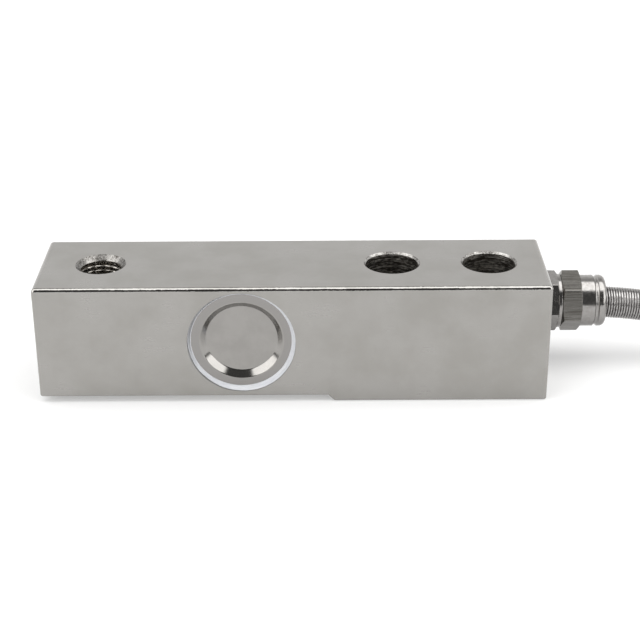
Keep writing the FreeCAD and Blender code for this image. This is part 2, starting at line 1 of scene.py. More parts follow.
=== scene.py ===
"""Shear beam load cell: finishes, wire, cable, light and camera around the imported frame."""
import logging
import math
from dataclasses import dataclass
from enum import Enum, IntEnum
from typing import Callable, Sequence, Union

import bmesh
import bpy
from bmesh.types import BMEdge, BMesh, BMFace, BMVert
from bpy.types import Camera, Curve, Material, Mesh, NodeSocket, NodeTree, Object
from mathutils import Matrix, Vector, noise


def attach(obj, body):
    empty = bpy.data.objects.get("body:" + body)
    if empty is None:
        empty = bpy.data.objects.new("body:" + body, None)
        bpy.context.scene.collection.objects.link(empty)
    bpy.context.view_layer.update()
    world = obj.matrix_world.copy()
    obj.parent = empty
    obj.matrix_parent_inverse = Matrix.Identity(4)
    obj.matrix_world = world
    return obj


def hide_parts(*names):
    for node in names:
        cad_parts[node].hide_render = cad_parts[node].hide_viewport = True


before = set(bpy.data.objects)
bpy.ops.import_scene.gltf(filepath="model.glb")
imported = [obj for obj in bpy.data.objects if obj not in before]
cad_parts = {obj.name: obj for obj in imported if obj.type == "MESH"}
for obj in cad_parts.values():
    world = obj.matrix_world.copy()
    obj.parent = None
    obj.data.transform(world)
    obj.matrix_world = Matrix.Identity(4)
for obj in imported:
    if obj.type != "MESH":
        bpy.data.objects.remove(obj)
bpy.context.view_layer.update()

MM = 0.001
WELD = 0.001 * MM
TOLERANCE = 0.01 * MM
CORNER_ANGLE = 50.0
ALONG_BEAM = Vector((1, 0, 0))
BODY = "root"
IMAGE_SIZE = 640
SENSOR_WIDTH = 36.0

Colour = tuple[float, float, float]
Triple = tuple[float, float, float]

log = logging.getLogger("load_cell")


class Axis(Enum):
    """Direction in which a finish's marks run."""

    X = 0
    Y = 1
    Z = 2


class Side(Enum):
    """Side of the beam, as the sign of its outward Y direction."""

    FRONT = -1
    REAR = 1


class Wall(IntEnum):
    """Material slots of the beam."""

    PLATE = 0
    BORE = 1
    RIM = 2
    EDGE = 3
    TAPPED = 4
    CONE = 5


def srgb(red: float, green: float, blue: float) -> Colour:
    """Turn display values into the linear colour that a shader takes.

    Args:
        red: Red, from 0 to 255.
        green: Green, from 0 to 255.
        blue: Blue, from 0 to 255.

    Returns:
        The linear colour.
    """

    def linear(value: float) -> float:
        """Linear value of one display value from 0 to 255."""
        share = value / 255
        return share / 12.92 if share <= 0.04045 else ((share + 0.055) / 1.055) ** 2.4

    return (linear(red), linear(green), linear(blue))


def operator_method(operation: str, swapped: bool = False) -> Callable[["Signal", "Operand"], "Signal"]:
    """Make the method behind one operator of a shader value.

    Args:
        operation: The Math node's operation.
        swapped: Whether the other operand comes first.

    Returns:
        The method, which adds the node and gives its result.
    """

    def method(signal: "Signal", other: "Operand") -> "Signal":
        """Result of the operation on this value and the other."""
        return signal.maths(operation, *((other, signal) if swapped else (signal, other)))

    return method


class Signal:
    """A shader output that takes part in plain arithmetic.

    Each operator adds the node that works the result out.
    """

    def __init__(self, sheet: "Sheet", socket: NodeSocket) -> None:
        """Keep the node sheet and the output that this value stands for."""
        self.sheet = sheet
        self.socket = socket

    def maths(self, operation: str, first: "Operand", second: "Operand" = 0.0) -> "Signal":
        """Result of one Math node on two operands."""
        return self.sheet.node("ShaderNodeMath", {"operation": operation}, {0: first, 1: second})

    __add__, __radd__ = operator_method("ADD"), operator_method("ADD", swapped=True)
    __sub__, __rsub__ = operator_method("SUBTRACT"), operator_method("SUBTRACT", swapped=True)
    __mul__, __rmul__ = operator_method("MULTIPLY"), operator_method("MULTIPLY", swapped=True)
    __gt__ = operator_method("GREATER_THAN")
    angle_over = operator_method("ARCTAN2")

    def __abs__(self) -> "Signal":
        """This value without its sign."""
        return self.maths("ABSOLUTE", self)

    def sway(self, width: "Operand") -> "Signal":
        """Swing of a noise about its middle, over the given width."""
        return (self - 0.5) * width

    def step(self, low: float, high: float, at_low: float = 0.0, at_high: float = 1.0) -> "Signal":
        """Smooth step between two levels.

        Args:
            low: Input at which the step begins.
            high: Input at which it ends.
            at_low: Result below the step.
            at_high: Result above the step.

        Returns:
            The stepped value.
        """
        sockets = {"Value": self, "From Min": low, "From Max": high, "To Min": at_low, "To Max": at_high}
        return self.sheet.node("ShaderNodeMapRange", {"interpolation_type": "SMOOTHSTEP"}, sockets)

    def between(self, low: float, high: float, soft: float) -> "Signal":
        """1 between two levels and 0 outside them, with soft ends of the given width."""
        return self.step(low - soft, low + soft) * self.step(high - soft, high + soft, 1.0, 0.0)


Operand = Union[Signal, float]


class Sheet:
    """The node sheet of one material or world."""

    def __init__(self, tree: NodeTree) -> None:
        """Start with an empty sheet."""
        self.tree = tree
        tree.nodes.clear()

    def node(self, kind: str, settings: dict, sockets: dict, output: Union[int, str] = 0) -> Signal:
        """Add one node.

        Args:
            kind: The node's type.
            settings: Its own settings, which are set before its sockets.
            sockets: Values or links for its inputs, by name or number.
            output: The output that is wanted.

        Returns:
            That output.
        """
        node = self.tree.nodes.new(kind)
        for key, value in settings.items():
            setattr(node, key, value)
        for key, value in sockets.items():
            if isinstance(value, Signal):
                self.tree.links.new(value.socket, node.inputs[key])
            elif isinstance(value, tuple) and node.inputs[key].type == "RGBA":
                node.inputs[key].default_value = (*value, 1.0)
            else:
                node.inputs[key].default_value = value
        return Signal(self, node.outputs[output])

    def vector_maths(self, operation: str, first: Signal, second: Triple, output: str = "Vector") -> Signal:
        """Result of one Vector Math node."""
        return self.node("ShaderNodeVectorMath", {"operation": operation}, {0: first, 1: second}, output)

    def place(self) -> Signal:
        """Place on the object, in metres in the part's own frame."""
        return self.node("ShaderNodeTexCoord", {}, {}, "Object")

    def parts(self, vector: Signal) -> tuple[Signal, Signal, Signal]:
        """The X, Y and Z parts of a vector."""
        first = self.node("ShaderNodeSeparateXYZ", {}, {0: vector})
        outputs = first.socket.node.outputs
        return tuple(Signal(self, outputs[index]) for index in range(3))

    def grain(self, vector: Signal, scale: float, detail: float = 2.0, rough: float = 0.5) -> Signal:
        """Cloudy noise from 0 to 1 on a vector.

        Args:
            vector: Where the noise is read.
            scale: Marks per metre.
            detail: Number of finer layers.
            rough: Strength of the finer layers.

        Returns:
            The noise.
        """
        sockets = {"Vector": vector, "Scale": scale, "Detail": detail, "Roughness": rough}
        return self.node("ShaderNodeTexNoise", {"noise_dimensions": "3D"}, sockets, "Fac")

    def streaks(self, vector: Signal, scales: Triple, detail: float = 2.0, rough: float = 0.5) -> Signal:
        """Noise like grain, drawn out into lines by its own number of marks per metre along each axis."""
        return self.grain(self.vector_maths("MULTIPLY", vector, scales), 1.0, detail, rough)

    def mix(self, share: Operand, first: Union[Signal, Colour], second: Union[Signal, Colour]) -> Signal:
        """Colour between the first, at share 0, and the second, at share 1."""
        return self.node("ShaderNodeMix", {"data_type": "RGBA"}, {0: share, 6: first, 7: second}, 2)

    def surface(self, **sockets: Union[Operand, Colour]) -> None:
        """Finish the sheet with one principled surface.

        Args:
            sockets: The shader's inputs, with underscores for the spaces in their names.
        """
        named = {key.replace("_", " "): value for key, value in sockets.items()}
        self.node_out("ShaderNodeOutputMaterial", self.node("ShaderNodeBsdfPrincipled", {}, named))

    def skin(self, colour: Signal, rough: Signal, relief: Signal, depth: float, metal: Operand = 0.0,
             **others: float) -> None:
        """Finish the sheet with a surface that has fine relief.

        Args:
            colour: Its colour.
            rough: Its roughness.
            relief: Height of the relief, from 0 to 1.
            depth: Depth of the relief in metres.
            metal: 1 for metal, 0 for anything else.
            others: Further inputs of the shader.
        """
        normal = self.node("ShaderNodeBump", {}, {"Height": relief, "Distance": depth, "Strength": 1.0})
        self.surface(Base_Color=colour, Metallic=metal, Roughness=rough, Normal=normal, **others)

    def node_out(self, kind: str, shader: Signal) -> None:
        """Join a shader to the sheet's output node."""
        node = self.tree.nodes.new(kind)
        self.tree.links.new(shader.socket, node.inputs["Surface"])


@dataclass(frozen=True)
class Finish:
    """A surface finish, made once and shared by the pieces that have it."""

    name: str

    def material(self) -> Material:
        """The finish as a material, made at the first call."""
        found = bpy.data.materials.get(self.name)
        if found:
            return found
        made = bpy.data.materials.new(self.name)
        made.use_nodes = True
        self.paint(Sheet(made.node_tree))
        return made

    def paint(self, sheet: Sheet) -> None:
        """Fill the sheet with this finish."""
        raise NotImplementedError


@dataclass(frozen=True)
class PlatedSteel(Finish):
    """Satin nickel over ground steel: faint grinding lines, clouds and small pits."""

    colour: Colour = srgb(161, 159, 156)
    shade: Colour = srgb(154, 152, 148)
    roughness: float = 0.29
    cloud_scale: float = 75.0
    line_scales: Triple = (60.0, 2400.0, 2400.0)
    orange_peel: float = 900.0
    relief: float = 0.0007 * MM

    def paint(self, sheet: Sheet) -> None:
        """Fill the sheet with clouds in the colour and gloss, and fine lines along the bar."""
        place = sheet.place()
        clouds = sheet.grain(place, self.cloud_scale, 4.0, 0.6)
        lines = sheet.streaks(place, self.line_scales, 3.0, 0.6)
        peel = sheet.grain(place, self.orange_peel)
        colour = sheet.mix(clouds.step(0.35, 0.7), self.colour, self.shade)
        rough = self.roughness + clouds.sway(0.08) + lines.sway(0.06)
        sheet.skin(colour, rough, lines * 0.35 + peel * 0.65, self.relief, metal=1.0)


@dataclass(frozen=True)
class BoredSteel(Finish):
    """Plated wall of a drilled hole, with the drill's uneven rings."""

    colour: Colour = srgb(214, 210, 203)
    shade: Colour = srgb(72, 67, 61)
    roughness: float = 0.4
    ring_scales: Triple = (110.0, 110.0, 2300.0)
    fleck_scales: Triple = (800.0, 800.0, 3000.0)
    relief: float = 0.05 * MM

    def paint(self, sheet: Sheet) -> None:
        """Fill the sheet with rings round the vertical axis and scattered bright scores."""
        place = sheet.place()
        rings = sheet.streaks(place, self.ring_scales, 4.0, 0.7)
        flecks = sheet.streaks(place, self.fleck_scales, 3.0, 0.7)
        colour = sheet.mix((rings * 0.5 + flecks * 0.5).step(0.44, 0.62), self.shade, self.colour)
        relief = rings * 0.6 + flecks * 0.6
        sheet.skin(colour, self.roughness + flecks.sway(0.2), relief, self.relief, metal=1.0)


@dataclass(frozen=True)
class CutRim(Finish):
    """Countersunk rim, torn and bright where the cutter chattered."""

    colour: Colour = srgb(176, 174, 171)
    shade: Colour = srgb(84, 81, 78)
    roughness: float = 0.26
    speckle_scale: float = 2100.0
    patch_scale: float = 640.0
    relief: float = 0.018 * MM

    def paint(self, sheet: Sheet) -> None:
        """Fill the sheet with speckles and larger patches across the rim."""
        place = sheet.place()
        speckle = sheet.grain(place, self.speckle_scale, 3.0, 0.7)
        patches = sheet.grain(place, self.patch_scale)
        colour = sheet.mix((speckle * 0.6 + patches * 0.4).step(0.34, 0.66), self.shade, self.colour)
        sheet.skin(colour, self.roughness + speckle.sway(0.25), speckle, self.relief, metal=1.0)


@dataclass(frozen=True)
class CoverSheet(Finish):
    """Thin pressed sheet, cloudy, and a little darker on its flat rim."""

    colour: Colour = srgb(153, 151, 148)
    shade: Colour = srgb(147, 145, 142)
    darker_rim: Colour = srgb(144, 142, 140)
    roughness: float = 0.13
    centre_x: float = -51.0 * MM
    centre_z: float = 16.7 * MM
    darker_rim_from: float = 10.8 * MM
    cloud_scale: float = 190.0
    line_scales: Triple = (120.0, 3000.0, 3000.0)
    relief: float = 0.005 * MM

    def paint(self, sheet: Sheet) -> None:
        """Fill the sheet with clouds and faint rolling lines, a little darker on the flat rim outside the
        dish.
        """
        place = sheet.place()
        clouds = sheet.grain(place, self.cloud_scale, 5.0, 0.65)
        lines = sheet.streaks(place, self.line_scales)
        across, _, up = sheet.parts(place)
        across, up = across - self.centre_x, up - self.centre_z
        # The flat rim outside the dish, past the given radius, takes the darker rim colour.
        rim = across * across + up * up > self.darker_rim_from ** 2
        colour = sheet.mix(rim, sheet.mix(clouds.step(0.35, 0.68), self.colour, self.shade), self.darker_rim)
        relief = clouds * 0.7 + lines * 0.3
        sheet.skin(colour, self.roughness + clouds.sway(0.08), relief, self.relief, metal=1.0)


@dataclass(frozen=True)
class TurnedMetal(Finish):
    """Plated and turned metal with fine tool lines, which follow one another along an axis."""

    colour: Colour = srgb(153, 151, 149)
    shade: Colour = srgb(141, 138, 135)
    roughness: float = 0.2
    lines: Axis = Axis.X
    line_depth: float = 0.01 * MM
    line_scale: float = 5200.0
    cross_scale: float = 160.0
    dust_scale: float = 1100.0
    dust_gloss: float = 0.4

    def marks(self, sheet: Sheet, place: Signal) -> tuple[Signal, Signal, Signal]:
        """The tool lines, the dust in the gloss, and the colour with the dust in it."""
        scales = [self.cross_scale] * 3
        scales[self.lines.value] = self.line_scale
        dust = sheet.grain(place, self.dust_scale, 3.0, 0.6)
        tone = sheet.mix(dust.step(0.4, 0.75), self.colour, self.shade)
        return sheet.streaks(place, tuple(scales)), dust, tone

    def paint(self, sheet: Sheet) -> None:
        """Fill the sheet with tool lines and a little dust in the tone."""
        tool, dust, tone = self.marks(sheet, sheet.place())
        rough = self.roughness + dust.sway(self.dust_gloss) + tool.sway(0.06)
        sheet.skin(tone, rough, tool, self.line_depth, metal=1.0)


@dataclass(frozen=True)
class DrawnHexagon(TurnedMetal):
    """Turned metal whose hexagon keeps the dull skin and the long lines of drawn bar."""

    starts: float = 32.85 * MM
    ends: float = 37.9 * MM
    soft: float = 0.05 * MM
    skin_colour: Colour = srgb(143, 141, 137)
    furrow: Colour = srgb(104, 101, 96)
    drawn_scales: Triple = (130.0, 4600.0, 4600.0)

    def paint(self, sheet: Sheet) -> None:
        """Fill the sheet with lines along the hexagon and tool lines round the rest."""
        place = sheet.place()
        along, _, _ = sheet.parts(place)
        on_hexagon = along.between(self.starts, self.ends, self.soft)
        drawn = sheet.streaks(place, self.drawn_scales, 3.0, 0.6)
        tool, dust, tone = self.marks(sheet, place)
        colour = sheet.mix(on_hexagon, tone, sheet.mix(drawn.step(0.35, 0.65), self.skin_colour, self.furrow))
        rough = self.roughness + dust.sway(self.dust_gloss - on_hexagon * 0.28) + on_hexagon * 0.04
        relief = tool * (1 - on_hexagon) + drawn * on_hexagon * 0.2
        sheet.skin(colour, rough, relief, self.line_depth, metal=1.0)


@dataclass(frozen=True)
class Compound(Finish):
    """Poured sealant: smooth, slightly cloudy and glossy."""

    colour: Colour = srgb(201, 203, 207)
    shade: Colour = srgb(192, 194, 199)
    roughness: float = 0.45
    cloud_scale: float = 260.0
    wave_scale: float = 600.0
    relief: float = 0.05 * MM
    gloss: float = 0.3

    def paint(self, sheet: Sheet) -> None:
        """Fill the sheet with soft clouds and the faint waves of a poured surface."""
        place = sheet.place()
        clouds = sheet.grain(place, self.cloud_scale, 3.0)
        waves = sheet.grain(place, self.wave_scale, 1.0)
        colour = sheet.mix(clouds.step(0.35, 0.7), self.colour, self.shade)
        rough = self.roughness + clouds.sway(0.1)
        sheet.skin(colour, rough, waves, self.relief, IOR=1.5, Coat_Weight=self.gloss)


@dataclass(frozen=True)
class Moulded(Finish):
    """Moulded or extruded plastic or rubber with a fine skin."""

    colour: Colour
    shade: Colour
    roughness: float = 0.45
    skin_scale: float = 1500.0
    skin_depth: float = 0.01 * MM
    cloud_scale: float = 160.0

    def paint(self, sheet: Sheet) -> None:
        """Fill the sheet with slight clouds of tone and the fine grain of the skin."""
        place = sheet.place()
        clouds = sheet.grain(place, self.cloud_scale, 3.0)
        skin = sheet.grain(place, self.skin_scale)
        colour = sheet.mix(clouds.step(0.3, 0.75), self.colour, self.shade)
        sheet.skin(colour, self.roughness + clouds.sway(0.14) + skin.sway(0.08), skin, self.skin_depth)


@dataclass(frozen=True)
class StrippedWire(Moulded):
    """Wire insulation that ends in a tinned tip."""

    start: Triple = (0.0, 0.0, 0.0)
    heading: Triple = (1.0, 0.0, 0.0)
    covered: float = 38.0 * MM
    tin: Colour = srgb(196, 195, 190)
    strand_scale: float = 2600.0
    strand_depth: float = 0.03 * MM

    def paint(self, sheet: Sheet) -> None:
        """Fill the sheet with the insulation up to its end, and tinned strands past it."""
        place = sheet.place()
        offset = sheet.vector_maths("SUBTRACT", place, self.start)
        bare = sheet.vector_maths("DOT_PRODUCT", offset, self.heading, "Value") > self.covered
        clouds = sheet.grain(place, self.cloud_scale, 3.0)
        strands = sheet.grain(place, self.strand_scale, 1.0)
        colour = sheet.mix(bare, sheet.mix(clouds, self.colour, self.shade), self.tin)
        rough = self.roughness - bare * 0.15 + clouds.sway(0.1)
        sheet.skin(colour, rough, strands, self.strand_depth, metal=bare)


def ride(piece: Object, slot: str, nodes: Sequence[str] = ()) -> None:
    """Fix a piece to the part.

    Args:
        piece: The piece, in place.
        slot: Name of a material slot, which is only written to the log.
        nodes: Frame nodes that it stands for.
    """
    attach(piece, BODY)
    if nodes:
        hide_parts(*nodes)
    log.info("piece %s: %s", piece.name, slot)


def dress(node: str, finish: Finish) -> None:
    """Give a frame node its finish."""
    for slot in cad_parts[node].material_slots:
        slot.material = finish.material()
    log.info("node %s: %s", node, finish.name)


def frame_mesh(node: str) -> BMesh:
    """Edit mesh of a frame node, with its faces joined at their corners."""
    mesh = bmesh.new()
    mesh.from_mesh(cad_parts[node].data)
    bmesh.ops.remove_doubles(mesh, verts=mesh.verts, dist=WELD)
    return mesh


def mesh_piece(name: str, mesh: BMesh, finishes: Sequence[Finish],
               normals: Sequence[Vector] = ()) -> Object:
    """Turn an edit mesh into a smooth piece of the scene.

    Args:
        name: The piece's name.
        mesh: Its edit mesh, which is freed.
        finishes: The finishes of its material slots.
        normals: Its own shading normals for all faces' corners, if it has any.

    Returns:
        The new object.
    """
    data = bpy.data.meshes.new(name)
    mesh.normal_update()
    mesh.to_mesh(data)
    mesh.free()
    for polygon in data.polygons:
        polygon.use_smooth = True
    for finish in finishes:
        data.materials.append(finish.material())
    if normals:
        data.normals_split_custom_set(normals)
    return linked(name, data)


def linked(name: str, data: Union[Mesh, Curve, Camera]) -> Object:
    """Put data into the scene as an object."""
    piece = bpy.data.objects.new(name, data)
    bpy.context.scene.collection.objects.link(piece)
    return piece


def keep_corners(piece: Object) -> None:
    """Keep the shading of a piece sharp at its corners and even on its flat faces."""
    piece.data.set_sharp_from_angle(angle=math.radians(CORNER_ANGLE))
    even = piece.modifiers.new("even faces", "WEIGHTED_NORMAL")
    even.keep_sharp = True
    even.weight = 100


def shading_normal(face: BMFace, vert: BMVert, angle: float,
                   is_flat: Callable[[BMFace], bool]) -> tuple[Vector, bool]:
    """Shading normal of a face's corner: that of the nearest flat face there, or else the mean of the faces.

    Args:
        face: The face.
        vert: The corner's vertex.
        angle: The widest angle to a face that still counts, in degrees.
        is_flat: Tells which faces stay flat.

    Returns:
        The normal, and whether it is a flat face's.
    """
    if is_flat(face):
        return face.normal.copy(), True
    limit = math.cos(math.radians(angle))
    near = [other for other in vert.link_faces if other.normal.dot(face.normal) > limit]
    flats = [other for other in near if is_flat(other)]
    if flats:
        return max(flats, key=lambda other: other.normal.dot(face.normal)).normal.copy(), True
    return sum((other.normal * other.calc_area() for other in near), Vector()).normalized(), False


def angles(steps: int) -> list[float]:
    """Angles in radians of even steps round a circle."""
    return [math.tau * index / steps for index in range(steps)]


def grid_faces(mesh: BMesh, rows: Sequence[Sequence[BMVert]]) -> None:
    """Join rings of as many points each with four-sided faces."""
    count = len(rows[0])
    for low, high in zip(rows, rows[1:]):
        for index in range(count):
            after = (index + 1) % count
            mesh.faces.new((low[index], low[after], high[after], high[index]))


def turned(name: str, profile: Sequence[tuple[float, float]], centre: Vector, axis: Vector, radial: Vector,
           steps: int, finish: Finish) -> Object:
    """Turn a closed profile about an axis.

    Args:
        name: The piece's name.
        profile: Points as (radius, distance along the axis).
        centre: Start of the axis.
        axis: Direction of the axis.
        radial: Direction of angle zero.
        steps: Number of faces round the axis.
        finish: The piece's finish.

    Returns:
        The turned piece.
    """
    mesh = bmesh.new()
    other = axis.cross(radial)
    rows = []
    for radius, along in profile:
        spokes = [radial * math.cos(turn) + other * math.sin(turn) for turn in angles(steps)]
        rows.append([mesh.verts.new(centre + axis * along + spoke * radius) for spoke in spokes])
    grid_faces(mesh, rows + rows[:1])
    bmesh.ops.remove_doubles(mesh, verts=mesh.verts, dist=WELD)
    bmesh.ops.recalc_face_normals(mesh, faces=mesh.faces)
    piece = mesh_piece(name, mesh, (finish,))
    keep_corners(piece)
    return piece


def smooth_line(name: str, places: Sequence[Vector]) -> Object:
    """Open smooth curve with the given control points."""
    data = bpy.data.curves.new(name, "CURVE")
    data.dimensions = "3D"
    spline = data.splines.new("NURBS")
    spline.points.add(len(places) - 1)
    for point, place in zip(spline.points, places):
        point.co = (*place, 1.0)
    spline.order_u = 3
    spline.use_endpoint_u = True
    spline.resolution_u = 8
    return linked(name, data)


class Track:
    """Points along a smooth curve, read from the curve itself, with their distances."""

    def __init__(self, line: Object) -> None:
        """Read the points of a curve that has no thickness yet."""
        mesh = bpy.data.meshes.new_from_object(line)
        self.points = [vertex.co.copy() for vertex in mesh.vertices]
        bpy.data.meshes.remove(mesh)
        self.distances = [0.0]
        for before, after in zip(self.points, self.points[1:]):
            self.distances.append(self.distances[-1] + (after - before).length)

    def at(self, distance: float) -> tuple[Vector, Vector]:
        """Point and direction at a distance along the curve.

        Args:
            distance: Distance from the curve's start, in metres.

        Returns:
            The point and the unit direction there.
        """
        index = 0
        while index < len(self.points) - 2 and self.distances[index + 1] < distance:
            index += 1
        step = self.points[index + 1] - self.points[index]
        share = (distance - self.distances[index]) / max(step.length, 1e-9)
        return self.points[index] + step * share, self.heading(index, share)

    def heading(self, index: int, share: float) -> Vector:
        """Direction that turns evenly from one stretch of the curve to the next."""
        here = (self.points[index + 1] - self.points[index]).normalized()
        if share < 0.5 and index > 0:
            before = (self.points[index] - self.points[index - 1]).normalized()
            return before.lerp(here, 0.5 + share).normalized()
        if share >= 0.5 and index < len(self.points) - 2:
            after = (self.points[index + 2] - self.points[index + 1]).normalized()
            return here.lerp(after, share - 0.5).normalized()
        return here


@dataclass
class Beam:
    """The measuring body: ground and plated bar, drilled holes and the tapped load hole."""

    node: str = "beam_body"
    load_hole_x: float = -87.5 * MM
    thread_core: float = 5.125 * MM
    thread_outer: float = 6.0 * MM
    thread_pitch: float = 1.25 * MM
    countersink: float = 6.5 * MM
    countersink_slope: float = 1.0
    lead_radius: float = 5.22 * MM
    lead_depth: float = 1.7 * MM
    under_load_end: float = 1.6 * MM
    top: float = 31.8 * MM
    mount_holes: tuple[float, float] = (-12.5 * MM, 12.5 * MM)
    mount_radius: float = 6.75 * MM
    chamfer: float = 0.5 * MM
    wall_slack: float = 0.05 * MM
    rim_slope: float = 0.9
    thread_steps: int = 96
    rings_per_turn: int = 14
    flank_start: float = 0.94
    flank_width: float = 0.81
    square: float = 0.9999
    smooth_angle: float = 28.0
    plate: PlatedSteel = PlatedSteel("nickel_on_steel")
    bore: BoredSteel = BoredSteel("drilled_wall")
    rim: CutRim = CutRim("cut_rim")
    edge: PlatedSteel = PlatedSteel("broken_edge", roughness=0.05, orange_peel=1200.0, relief=0.09 * MM)
    tapped: TurnedMetal = TurnedMetal("tapped_wall", srgb(172, 168, 162), srgb(118, 113, 107), 0.24, Axis.Z,
                                      0.002 * MM)
    cone: CutRim = CutRim("cut_cone", srgb(150, 148, 145), srgb(62, 59, 56))
    edge_radius: float = 0.6 * MM
    top_edge_radius: float = 1.0 * MM
    planes: tuple[tuple[float, ...], ...] = (
        (-103.0 * MM, 27.0 * MM),
        (-15.9 * MM, 15.9 * MM),
        (0.0, 1.6 * MM, 31.8 * MM),
    )

    def build(self) -> None:
        """Build the body from the frame's own shape, with the load hole's wall cut as a thread."""
        mesh = frame_mesh(self.node)
        self.widen_top_edges(mesh)
        self.open_load_hole(mesh)
        self.cut_thread(mesh)
        self.sort_faces(mesh)
        normals = [shading_normal(face, loop.vert, self.smooth_angle, self.is_flat)[0]
                   for face in mesh.faces for loop in face.loops]
        finishes = (self.plate, self.bore, self.rim, self.edge, self.tapped, self.cone)
        ride(mesh_piece("measuring_body", mesh, finishes, normals), "nickel_steel", (self.node,))

    def near_planes(self, point: Vector, slack: float) -> int:
        """Number of directions in which a point lies on or near one of the bar's planes."""
        return sum(any(abs(value - place) < slack for place in places)
                   for value, places in zip(point, self.planes))

    def is_flat(self, face: BMFace) -> bool:
        """Whether a face lies in one of the bar's planes."""
        for value, axis, places in zip(face.normal, range(3), self.planes):
            if abs(value) > self.square:
                return any(abs(face.verts[0].co[axis] - place) < TOLERANCE for place in places)
        return False

    def from_axis(self, point: Vector, x: float) -> float:
        """Distance of a point from the vertical axis at the given X."""
        return math.hypot(point.x - x, point.y)

    def widen_top_edges(self, mesh: BMesh) -> None:
        """Wear the rounding of the four top edges a little wider."""
        slack = self.edge_radius + TOLERANCE
        growth = self.top_edge_radius / self.edge_radius
        for vert in mesh.verts:
            below = self.top - vert.co.z
            if below > slack or self.near_planes(vert.co, slack) < 2:
                continue
            share = 1 + (growth - 1) * (1 - min(below / self.edge_radius, 1.0))
            for axis, places in enumerate(self.planes[:2]):
                for place in places:
                    inside = vert.co[axis] - place
                    if abs(inside) < slack:
                        vert.co[axis] = place + inside * share
            vert.co.z = self.top - below * growth

    def open_load_hole(self, mesh: BMesh) -> None:
        """Take away the plain wall and countersinks of the load hole."""
        limit = self.countersink + TOLERANCE
        gone = [face for face in mesh.faces
                if all(self.from_axis(vert.co, self.load_hole_x) < limit for vert in face.verts)]
        bmesh.ops.delete(mesh, geom=gone, context="FACES")

    def wall_radius(self, height: float, turn: float) -> float:
        """Radius of the tapped hole's wall.

        Args:
            height: Height above the part's origin.
            turn: Angle round the hole, in radians.

        Returns:
            The radius: thread, plain lead-in, or countersink where that is wider.
        """
        phase = (height / self.thread_pitch - turn / math.tau) % 1.0
        flank = min(max((self.flank_start - abs(2 * phase - 1)) / self.flank_width, 0.0), 1.0)
        thread = self.thread_core + (self.thread_outer - self.thread_core) * flank
        from_mouth = min(self.top - height, height - self.under_load_end)
        if from_mouth < self.lead_depth:
            thread = self.lead_radius
        return min(max(thread, self.countersink - from_mouth * self.countersink_slope), self.countersink)

    def cut_thread(self, mesh: BMesh) -> None:
        """Line the load hole with its thread, joined to the rims of the two faces."""
        rims = [edge for edge in mesh.edges if edge.is_boundary]
        rows = []
        turns = (self.top - self.under_load_end) / self.thread_pitch
        count = round(turns * self.rings_per_turn)
        for index in range(1, count):
            height = self.under_load_end + (self.top - self.under_load_end) * index / count
            rows.append([])
            for turn in angles(self.thread_steps):
                radius = self.wall_radius(height, turn)
                place = (self.load_hole_x + radius * math.cos(turn), radius * math.sin(turn), height)
                rows[-1].append(mesh.verts.new(place))
        grid_faces(mesh, rows)
        middle = (self.top + self.under_load_end) / 2
        for row, above in ((rows[0], False), (rows[-1], True)):
            ring = [mesh.edges.get((one, two)) for one, two in zip(row, row[1:] + row[:1])]
            rim = [edge for edge in rims if (edge.verts[0].co.z > middle) == above]
            bmesh.ops.bridge_loops(mesh, edges=ring + rim)
        bmesh.ops.recalc_face_normals(mesh, faces=mesh.faces)

    def sort_faces(self, mesh: BMesh) -> None:
        """Give the hole walls and their rims their own finishes."""
        mesh.normal_update()
        for face in mesh.faces:
            middle = face.calc_center_median()
            face.material_index = Wall.PLATE
            if self.near_planes(middle, self.top_edge_radius) > 1 and not self.is_flat(face):
                face.material_index = Wall.EDGE
            if self.from_axis(middle, self.load_hole_x) < self.countersink:
                depth = min(self.top - middle.z, middle.z - self.under_load_end)
                cone = (self.countersink - self.lead_radius) / self.countersink_slope
                face.material_index = Wall.CONE if depth < cone else Wall.TAPPED
            for x in self.mount_holes:
                radius = self.from_axis(middle, x)
                if radius < self.mount_radius + self.wall_slack:
                    face.material_index = Wall.BORE
                elif radius < self.mount_radius + self.chamfer and face.normal.z ** 2 < self.rim_slope:
                    face.material_index = Wall.RIM


